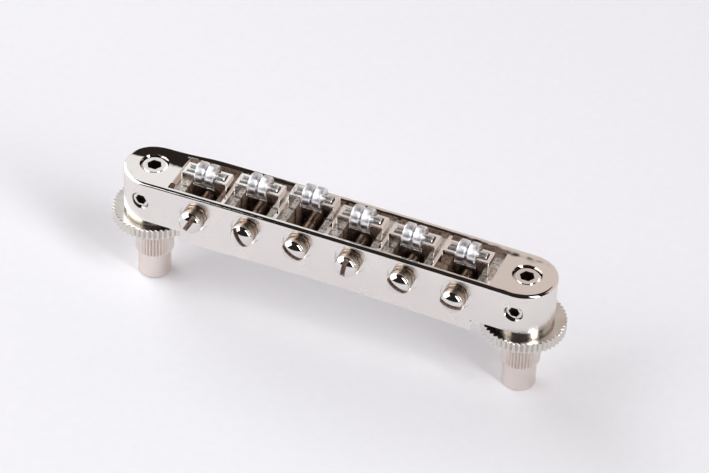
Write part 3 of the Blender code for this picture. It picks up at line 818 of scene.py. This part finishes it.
def saddle_mesh():
    right_half = [(BLOCK_HALF, SADDLE_FOOT), (BLOCK_HALF, ARM_UNDER),
                  (ARM_HALF, ARM_UNDER), (ARM_HALF, SADDLE_TOP)]
    outline = [(-BLOCK_HALF, SADDLE_FOOT)] + right_half
    outline += [(-x, z) for x, z in reversed(right_half[1:])]
    solid = bmesh.new()
    prism(solid, outline, 0.0, SADDLE_DEPTH, "y")
    roller_slot, trough, bore = bmesh.new(), bmesh.new(), bmesh.new()
    centre = (SADDLE_DEPTH / 2, AXLE_RISE)
    prism(roller_slot, roller_slot_outline(centre), -SLOT_HALF, SLOT_HALF, "x")
    width = AXLE_RADIUS + PLAY
    seat = [(centre[0] - width, SADDLE_TOP + OVER), *arc(width, 180, 360, 16, centre),
            (centre[0] + width, SADDLE_TOP + OVER)]
    prism(trough, seat, -TROUGH_HALF, TROUGH_HALF, "x")
    prism(bore, circle(THREAD_RADIUS + THREAD_PLAY, 32), -OVER, SADDLE_DEPTH + OVER, "y")
    cutters = [mesh_from(bm, "cut") for bm in (roller_slot, trough, bore)]
    return ease_edges(carve(mesh_from(solid, "saddle"), cutters, "saddle"), SADDLE_EASE, segments=3)


saddle = saddle_mesh()
for n in range(STRINGS):
    name = f"saddle_{n + 1}"
    piece(name + "_casting", saddle, SADDLE_NICKEL, name, [name],
          (STRING_X[n], low(name).y, SCREW_Z[n]))
print("saddle faces:", len(saddle.polygons))

# %% [markdown]
# The rollers are turned from steel. Each has two broad rims with eased corners and a narrow V
# groove between them for the string. A turned profile is the natural way to make one, and
# half of it is enough, because the roller is the same to both sides.

# %% Rollers
# Steel with fine turning marks round its axle, which smear each highlight along the rim.
ROLLER_STEEL = metal("satin_turned_steel", "F0F0F3", 0.34, cloud_mm=1.2, cloud=0.08, ridged=0.85)
ROLLER_HALF = (high("roller_1").x - low("roller_1").x) / 2
ROLLER_PLAY = 0.06 * MM
ROLLER_CHAMFER = 0.1 * MM
GROOVE_HALF = 0.35 * MM
GROOVE_DEPTH = 0.6 * MM
GROOVE_ROOT = 0.03 * MM
GROOVE_LIP = 0.08 * MM
LIP_WIDTH = 0.1 * MM
RIM_EASE = 0.22 * MM


def roller_mesh():
    bore = AXLE_RADIUS + ROLLER_PLAY
    right_half = [(ROLLER_RADIUS - GROOVE_DEPTH, GROOVE_ROOT),
                  (ROLLER_RADIUS - GROOVE_LIP, GROOVE_HALF - GROOVE_ROOT),
                  (ROLLER_RADIUS, GROOVE_HALF + LIP_WIDTH)]
    right_half += arc(RIM_EASE, 0, 90, 6, (ROLLER_RADIUS - RIM_EASE, ROLLER_HALF - RIM_EASE))
    right_half += [(bore + ROLLER_CHAMFER, ROLLER_HALF), (bore, ROLLER_HALF - ROLLER_CHAMFER)]
    profile = [(r, -x) for r, x in reversed(right_half)] + right_half
    return mesh_from(turned(profile, 72, "x", closed=True), "roller")


roller = roller_mesh()
for n in range(STRINGS):
    name = f"roller_{n + 1}"
    piece(name + "_turned", roller, ROLLER_STEEL, name, [name],
          middle(f"axle_{n + 1}"), soft_angle=40)
print("roller faces:", len(roller.polygons))

# %% [markdown]
# An axle is a plain ground pin with chamfered ends that lies in its saddle's trough. It rides
# on the saddle's body, so it travels with the saddle while the roller turns round it.

# %% Axles
# Ground steel: an even soft shine, whiter than the nickel round it.
AXLE_STEEL = metal("ground_steel_pin", "F2F0EE", 0.26, cloud_mm=1.5, cloud=0.06)
AXLE_CHAMFER = 0.15 * MM


def axle_mesh():
    half = (high("axle_1").x - low("axle_1").x) / 2
    right_half = [(AXLE_RADIUS, half - AXLE_CHAMFER), (AXLE_RADIUS - AXLE_CHAMFER, half)]
    profile = [(r, -x) for r, x in reversed(right_half)] + right_half
    return mesh_from(turned(profile, 40, "x"), "axle")


axle = axle_mesh()
for n in range(STRINGS):
    name = f"axle_{n + 1}"
    piece(name + "_pin", axle, AXLE_STEEL, f"saddle_{n + 1}", [name], middle(name),
          soft_angle=30)
print("axle faces:", len(axle.polygons))

# %% [markdown]
# A thread is a groove that winds in a helix. It could be swept along a curve, but rings of
# points are simpler and always close: each point's radius depends on how far the turn has
# wound round by that depth. The groove fades out at both ends, as a cut thread does.

# %% Threads


def thread_rings(radius, depth, pitch, start, end, steps, axis, rows_per_turn=10):
    """Rings of a shank whose surface winds in a helix, fading out at both ends."""
    count = max(2, round((end - start) / pitch * rows_per_turn))
    rings = []
    for row in range(count + 1):
        along_shank = start + (end - start) * row / count
        fade = min(1.0, row / 3, (count - row) / 3)
        ring = []
        for k in range(steps):
            phase = (along_shank / pitch - k / steps) % 1.0
            r = radius - depth * fade * abs(2 * phase - 1)
            angle = 2 * math.pi * k / steps
            ring.append(along(axis, r * math.cos(angle), r * math.sin(angle), along_shank))
        rings.append(ring)
    return rings


def with_shank(head, rings):
    """Add a threaded shank to a finished head; its end is hidden inside the head."""
    bm = bmesh.new()
    loft(bm, rings)
    bmesh.ops.recalc_face_normals(bm, faces=bm.faces)
    bm.from_mesh(head)
    bm.to_mesh(head)
    bm.free()
    return head


SCREW_PITCH = 0.5 * MM
print("turns of thread in 10 mm of screw:", round(10 * MM / SCREW_PITCH))

# %% [markdown]
# The intonation screws are turned with a domed head, slotted by a saw, and their shanks carry
# a fine thread. The head's side keeps shallow rings from the turning tool. Its slot stands at
# whatever angle the tuning left it, so each screw has an angle of its own.
# A groove behind the front wall holds the open clip.

# %% Intonation screws
HEAD_RADIUS = (high("intonation_screw_1").x - low("intonation_screw_1").x) / 2
HEAD_GAP = 0.06 * MM
HEAD_SEAT = -HALF_WIDTH + SINK_DEPTH - HEAD_GAP
HEAD_FRONT = low("intonation_screw_1").y - HEAD_SEAT
HEAD_RIM = 2.15 * MM
HEAD_RIDGE = 0.43 * MM
HEAD_RIDGE_DEPTH = 0.035 * MM
HEAD_EASE = 0.05 * MM
DOME_STEPS = 10
SLOT_WIDTH = 0.9 * MM
SLOT_DEPTH = 1.0 * MM
SLOT_ANGLES = (62, -56, -30, 82, -28, -11)
THREAD_DEPTH = 0.22 * MM
SCREW_CHAMFER = 0.25 * MM
CLIP_FRONT = low("screw_clip_1").y - HEAD_SEAT
CLIP_REAR = high("screw_clip_1").y - HEAD_SEAT
CLIP_PLAY = 0.05 * MM
SCREW_END = high("intonation_screw_1").y - HEAD_SEAT
GROOVE_RADIUS = 0.9 * MM
SCREW_STEPS = 48


def head_profile():
    """The dome from its crest to its rim, then the ridged side down to the seat."""
    dome = -HEAD_FRONT - HEAD_RIM
    profile = []
    for step in range(1, DOME_STEPS):
        angle = math.radians(90 * step / DOME_STEPS)
        profile.append((HEAD_RADIUS * math.sin(angle), -HEAD_RIM - dome * math.cos(angle)))
    ridges = round(HEAD_RIM / HEAD_RIDGE)
    half_ridge = HEAD_RIM / ridges / 2
    for k in range(ridges):
        start = -HEAD_RIM * (1 - k / ridges)
        profile += [(HEAD_RADIUS, start), (HEAD_RADIUS - HEAD_RIDGE_DEPTH, start + half_ridge)]
    return profile + [(HEAD_RADIUS, -HEAD_EASE), (HEAD_RADIUS - HEAD_EASE, 0.0), (THREAD_RADIUS, 0.0)]


def slot_cutter(slot_angle):
    cutter = bmesh.new()
    reach = HEAD_RADIUS + OVER
    half = SLOT_WIDTH / 2
    outline = [(-reach, -half), (reach, -half), (reach, half), (-reach, half)]
    prism(cutter, outline, HEAD_FRONT - OVER, HEAD_FRONT + SLOT_DEPTH, "y")
    turn_to = Matrix.Rotation(math.radians(-slot_angle), 4, "Y")
    bmesh.ops.transform(cutter, matrix=turn_to, verts=cutter.verts)
    return mesh_from(cutter, "slot")


def screw_mesh(slot_angle):
    groove = [(THREAD_RADIUS, CLIP_FRONT - CLIP_PLAY), (GROOVE_RADIUS, CLIP_FRONT - CLIP_PLAY),
              (GROOVE_RADIUS, CLIP_REAR + CLIP_PLAY)]
    rings = plain_rings(head_profile() + groove, SCREW_STEPS, "y")
    rings += thread_rings(THREAD_RADIUS, THREAD_DEPTH, SCREW_PITCH, CLIP_REAR + CLIP_PLAY,
                          SCREW_END - SCREW_CHAMFER, SCREW_STEPS, "y")
    rings += plain_rings([(THREAD_RADIUS - SCREW_CHAMFER, SCREW_END)], SCREW_STEPS, "y")
    solid = bmesh.new()
    loft(solid, rings)
    return carve(mesh_from(solid, "screw"), [slot_cutter(slot_angle)], "screw")


print("screw head mm:", round(2 * HEAD_RADIUS / MM, 2), "wide,", round(-HEAD_FRONT / MM, 2), "long")

# %% [markdown]
# A screw's plate is brightest on its dome. The head's side is duller and painted darker as the
# shade of its counterbore; the sawn slot and the thread are painted dull brown as shade in their
# hollows. All four are the same metal, so they are chosen by the depth and the place of each face.

# %% Finishes of the screws
# Nickel over turned brass: bright, with a little haze from the screwdriver and from wiping.
SCREW_NICKEL = metal("turned_nickel_plate", "E4E1DE", 0.06, cloud_mm=3.0, cloud=0.04)
# The head's side, which no wheel polishes: duller, with soft highlights, and painted darker and
# warmer as the shade of its counterbore.
SHADED_HEAD_SIDE_NICKEL = metal("shaded_head_side_nickel_plate", "CABDB1", 0.18, cloud_mm=0.8, cloud=0.08,
                      wave_mm=0.6)
# Painted shade for the thread deep in the channel and for the hex sockets: brown and half dull.
PAINTED_SHADE_THREAD_AND_SOCKET = metal("painted_shade_thread_and_socket", "7B6A5E", 0.28, cloud_mm=0.8, cloud=0.14, wave_mm=0.5)
NECK_MARGIN = 0.1 * MM
NECK = CLIP_FRONT - NECK_MARGIN


def on_shank(point):
    return point.y > NECK


def on_head_side(point):
    return -HEAD_RIM + SKIN < point.y < NECK


def in_slot(slot_angle):
    """A test for points on the walls and floor of a screw's slot."""
    turn_back = math.radians(slot_angle)

    def inside(point):
        across = point.z * math.cos(turn_back) - point.x * math.sin(turn_back)
        return point.y < HEAD_FRONT + SLOT_DEPTH + SKIN and abs(across) < SLOT_WIDTH / 2 + SKIN

    return inside


for n in range(STRINGS):
    body = f"intonation_screw_{n + 1}"
    screw = piece(f"screw_{n + 1}_slotted", screw_mesh(SLOT_ANGLES[n]), SCREW_NICKEL, body, [body],
                  (STRING_X[n], HEAD_SEAT, SCREW_Z[n]), soft_angle=32)
    # The thread is painted brown as shade, where it lies in the channel.
    refinish(screw, PAINTED_SHADE_THREAD_AND_SOCKET, on_shank)
    # The head's side gets its painted shade.
    refinish(screw, SHADED_HEAD_SIDE_NICKEL, on_head_side)
    # Each slot gets the dull brown painted shade, since it lies in shadow.
    print(body, "slot faces:", refinish(screw, PAINTED_SHADE_CASTING, in_slot(SLOT_ANGLES[n])))

# %% [markdown]
# The clip is an open ring of spring steel that snaps into the screw's groove from one side.
# It keeps the screw from sliding out while it turns. One flat outline with a mouth makes it.

# %% Clips
# Spring steel, tempered and left unplated: grey, dark and only half bright.
CLIP_STEEL = metal("dark_spring_steel", "8F8A84", 0.30, cloud_mm=1.5, cloud=0.10)
CLIP_MOUTH = 25
CLIP_SEAT = 0.06 * MM
CLIP_EASE = 0.06 * MM


def clip_mesh():
    radius = (high("screw_clip_1").x - low("screw_clip_1").x) / 2
    first, last = CLIP_MOUTH - 90, 270 - CLIP_MOUTH
    outline = arc(radius, first, last, 36) + arc(GROOVE_RADIUS + CLIP_SEAT, last, first, 24)
    bm = bmesh.new()
    prism(bm, outline, 0.0, CLIP_REAR - CLIP_FRONT, "y")
    return ease_edges(mesh_from(bm, "clip"), CLIP_EASE)


clip = clip_mesh()
for n in range(STRINGS):
    piece(f"clip_{n + 1}_open_ring", clip, CLIP_STEEL, f"intonation_screw_{n + 1}",
          [f"screw_clip_{n + 1}"],
          (STRING_X[n], HEAD_SEAT + CLIP_FRONT, SCREW_Z[n]))
print("clip faces:", len(clip.polygons))

# %% [markdown]
# The thumbwheels are knurled so that fingers can turn them. Straight knurling leaves a row of
# V-shaped teeth that run up to the flat faces, so each face ends in a zigzag. The teeth are
# real geometry, because they stand out against the table. The hub above is smooth.

# %% Thumbwheels
# Nickel over knurled brass: bright on the faces, softened where the teeth were pressed.
WHEEL_NICKEL = metal("knurled_nickel_plate", "DEDAD4", 0.14, cloud_mm=4.0, cloud=0.08)
KNURLS = 48
KNURL_DEPTH = 0.45 * MM
KNURL_LAND = 0.12
TOOTH_STEPS = 8
WHEEL_THICKNESS = 2.2 * MM
WHEEL_EASE = 0.07 * MM
HUB_RADIUS = 5.3 * MM
HUB_EASE = 0.1 * MM
WHEEL_BORE = 2.68 * MM


def toothed_circle(radius, depth, count, axis_depth, land):
    """A ring of V teeth; land is the share of each tooth that stays at full radius."""
    points = []
    for k in range(count * TOOTH_STEPS):
        angle = 2 * math.pi * k / (count * TOOTH_STEPS)
        share = (k / TOOTH_STEPS + 0.5) % 1.0
        away = max(0.0, abs(share - 0.5) * 2 - land) / (1 - land)
        r = radius - depth * away
        points.append((r * math.cos(angle), r * math.sin(angle), axis_depth))
    return points


def wheel_mesh():
    radius = high("thumbwheel_left").y
    hub_end = high("thumbwheel_left").z - low("thumbwheel_left").z
    edges = [(radius - WHEEL_EASE, 0.0), (radius, WHEEL_EASE), (radius, WHEEL_THICKNESS - WHEEL_EASE),
             (radius - WHEEL_EASE, WHEEL_THICKNESS)]
    disc = bmesh.new()
    loft(disc, [toothed_circle(size, KNURL_DEPTH, KNURLS, z, KNURL_LAND) for size, z in edges])
    profile = [(HUB_RADIUS, WHEEL_THICKNESS / 2), (HUB_RADIUS, hub_end - HUB_EASE),
               (HUB_RADIUS - HUB_EASE, hub_end)]
    hub = turned(profile, 96, "z")
    bore = bmesh.new()
    prism(bore, circle(WHEEL_BORE, 64), -OVER, hub_end + OVER, "z")
    fused = carve(mesh_from(disc, "disc"), [mesh_from(hub, "hub")], "wheel", "UNION")
    return carve(fused, [mesh_from(bore, "bore")], "wheel")


wheel = wheel_mesh()
for side in SIDES:
    node = f"thumbwheel_{side}"
    place = Vector((middle(node).x, 0.0, low(node).z))
    piece(f"wheel_{side}_knurled", wheel, WHEEL_NICKEL, f"post_{side}", [node],
          place, soft_angle=32)
print("wheel faces:", len(wheel.polygons))

# %% [markdown]
# A post has a plain head with a chamfered top and a hexagon socket, and an M4 thread below
# that screws into the bushing. The head fills the body's hole, so only its top is bright; the
# socket is painted dark brown as the shade inside it.

# %% Posts
POST_RADIUS = (high("post_left").x - low("post_left").x) / 2
POST_BOTTOM = low("post_left").z - low("thumbwheel_left").z
POST_TOP = high("post_left").z - low("thumbwheel_left").z
POST_CHAMFER = 0.46 * MM
POST_SOCKET = 2.5 * MM
POST_SOCKET_DEPTH = 2.4 * MM
POST_PITCH = 0.7 * MM
POST_THREAD_DEPTH = 0.35 * MM
SHANK_RADIUS = 2.0 * MM
SHANK_CHAMFER = 0.3 * MM
SHANK_SINK = 0.1 * MM
POST_STEPS = 64


def post_mesh():
    rings = plain_rings([(SHANK_RADIUS - SHANK_CHAMFER, POST_BOTTOM)], POST_STEPS, "z")
    rings += thread_rings(SHANK_RADIUS, POST_THREAD_DEPTH, POST_PITCH, POST_BOTTOM + SHANK_CHAMFER,
                          SHANK_SINK, POST_STEPS, "z", rows_per_turn=8)
    profile = [(POST_RADIUS, 0.0), (POST_RADIUS, POST_TOP - POST_CHAMFER),
               (POST_RADIUS - POST_CHAMFER, POST_TOP)]
    head = mesh_from(turned(profile, POST_STEPS, "z"), "post")
    socket = bmesh.new()
    prism(socket, hexagon(POST_SOCKET), POST_TOP - POST_SOCKET_DEPTH, POST_TOP + OVER, "z")
    return with_shank(carve(head, [mesh_from(socket, "socket")], "post"), rings)


def in_post_socket(point):
    inside = math.hypot(point.x, point.y) < POST_SOCKET / math.sqrt(3) + SKIN
    return inside and SHANK_SINK + SKIN < point.z < POST_TOP - SKIN


post = post_mesh()
for side in SIDES:
    node = f"post_{side}"
    place = (middle(node).x, 0.0, low(f"thumbwheel_{side}").z)
    head = piece(node + "_socket_head", post, SCREW_NICKEL, node, [node], place,
                 soft_angle=32)
    # The hex socket is painted dark brown as the shade inside it.
    print(node, "socket faces:", refinish(head, PAINTED_SHADE_THREAD_AND_SOCKET, in_post_socket))

# %% [markdown]
# The bushing is pressed into the guitar's top. Its barrel is splined so that it grips the
# wood, with a smooth pilot below that finds the hole, and a blind bore takes the post's thread.
# The bore is part of the same loft: its rings are toothed rings whose teeth have no depth.

# %% Bushings
# Nickel over knurled brass, plated but not buffed, since the wood will hide it: pale and soft.
BARREL_NICKEL = metal("satin_nickel_plate", "E8DED8", 0.28, cloud_mm=3.0, cloud=0.12)
PILOT_RADIUS = 3.14 * MM
PILOT_LENGTH = 5.5 * MM
SPLINES = 36
SPLINE_DEPTH = 0.34 * MM
SPLINE_LAND = 0.3
BUSHING_EASE = 0.2 * MM
BUSHING_BORE = 2.06 * MM
BUSHING_FLOOR = 1.2 * MM


def bushing_mesh():
    """Loft (radius, tooth depth, height) rings up the outside and back down the bore."""
    length = high("bushing_left").z
    radius = high("bushing_left").y
    pilot = [(PILOT_RADIUS - BUSHING_EASE, 0.0, 0.0), (PILOT_RADIUS, 0.0, BUSHING_EASE),
             (PILOT_RADIUS, 0.0, PILOT_LENGTH)]
    barrel = [(radius, SPLINE_DEPTH, PILOT_LENGTH + BUSHING_EASE),
              (radius, SPLINE_DEPTH, length - BUSHING_EASE), (radius - SPLINE_DEPTH, 0.0, length)]
    bore = [(BUSHING_BORE, 0.0, length), (BUSHING_BORE, 0.0, BUSHING_FLOOR)]
    bm = bmesh.new()
    loft(bm, [toothed_circle(size, depth, SPLINES, z, SPLINE_LAND)
              for size, depth, z in pilot + barrel + bore])
    return mesh_from(bm, "bushing")


bushing = bushing_mesh()
for side in SIDES:
    node = f"bushing_{side}"
    piece(node + "_splined", bushing, BARREL_NICKEL, node, [node],
          (middle(f"post_{side}").x, 0.0, 0.0), soft_angle=32)
print("bushing faces:", len(bushing.polygons))

# %% [markdown]
# The lock screws are socket grub screws, sunk in the ends of the front face.
# Turning one in clamps its post, so the bridge keeps its height when the strings are off.

# %% Lock screws
LOCK_RADIUS = (high("lock_screw_left").x - low("lock_screw_left").x) / 2
LOCK_FACE = low("lock_screw_left").y - high("lock_screw_left").y
LOCK_CHAMFER = 0.3 * MM
LOCK_THREAD_DEPTH = 0.15 * MM
LOCK_SOCKET = 1.9 * MM
LOCK_SOCKET_DEPTH = 1.2 * MM
LOCK_HEAD_FLOOR = 0.3 * MM
LOCK_OVERLAP = 0.1 * MM
LOCK_STEPS = 48


def lock_mesh():
    socket_floor = LOCK_FACE + LOCK_SOCKET_DEPTH
    head_end = socket_floor + LOCK_HEAD_FLOOR
    rings = thread_rings(LOCK_RADIUS, LOCK_THREAD_DEPTH, SCREW_PITCH, head_end - LOCK_OVERLAP,
                         -LOCK_CHAMFER, LOCK_STEPS, "y", rows_per_turn=8)
    rings += plain_rings([(LOCK_RADIUS - LOCK_CHAMFER, 0.0)], LOCK_STEPS, "y")
    profile = [(LOCK_RADIUS - LOCK_CHAMFER, LOCK_FACE), (LOCK_RADIUS, LOCK_FACE + LOCK_CHAMFER),
               (LOCK_RADIUS, head_end)]
    head = mesh_from(turned(profile, LOCK_STEPS, "y"), "lock_screw")
    socket = bmesh.new()
    prism(socket, hexagon(LOCK_SOCKET), LOCK_FACE - OVER, socket_floor, "y")
    return with_shank(carve(head, [mesh_from(socket, "socket")], "lock_screw"), rings)


def in_grub_socket(point):
    inside = math.hypot(point.x, point.z) < LOCK_SOCKET / math.sqrt(3) + SKIN
    return inside and point.y > LOCK_FACE + SKIN


lock = lock_mesh()
for side in SIDES:
    node = f"lock_screw_{side}"
    grub = piece(node + "_grub", lock, SCREW_NICKEL, node, [node],
                 (middle(node).x, high(node).y, LOCK_Z), soft_angle=32)
    # The hex socket is painted dark brown as the shade inside it.
    print(node, "socket faces:", refinish(grub, PAINTED_SHADE_THREAD_AND_SOCKET, in_grub_socket))
